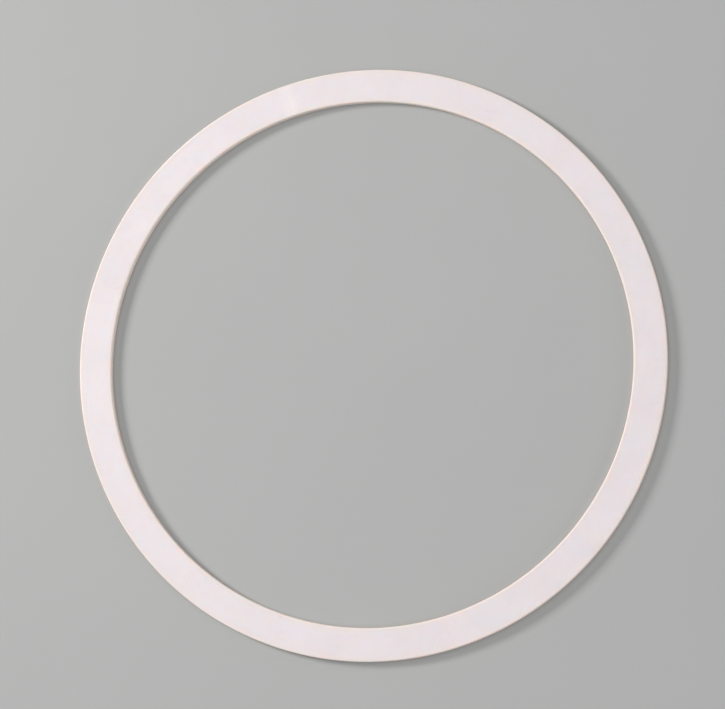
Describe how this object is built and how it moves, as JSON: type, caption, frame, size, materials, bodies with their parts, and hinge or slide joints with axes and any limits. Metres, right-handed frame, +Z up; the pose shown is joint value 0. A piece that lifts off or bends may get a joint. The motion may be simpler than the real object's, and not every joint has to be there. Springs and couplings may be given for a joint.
{
  "type": "flat gymnastics hoop",
  "caption": "Flat-section gymnastics hoop: hollow plastic half bands butted at pinned joints over hidden curved connector plugs, lying flat with an open centre.",
  "frame": {"origin": "centre of the hoop on its flat underside, on the surface that it lies on", "axes": "+Z up along the hoop's axis; the two joints lie on +Y and -Y, and half_band_a is on the +X side"},
  "size_m": [0.4998, 0.5, 0.007],
  "materials": {
    "band_plastic": "matte, very pale pinkish white, finely sanded, warmer on the edge walls",
    "connector_plastic": "matte natural moulded plastic",
    "pin_nylon": "matte natural nylon, a little warmer than the band"
  },
  "bodies": {
    "root": {"half_band_a": "band_plastic", "half_band_b": "band_plastic", "connector_a": "connector_plastic", "connector_b": "connector_plastic", "joint_pin_a1": "pin_nylon", "joint_pin_a2": "pin_nylon", "joint_pin_a3": "pin_nylon", "joint_pin_a4": "pin_nylon", "joint_pin_b1": "pin_nylon", "joint_pin_b2": "pin_nylon", "joint_pin_b3": "pin_nylon", "joint_pin_b4": "pin_nylon"}
  },
  "joints": []
}
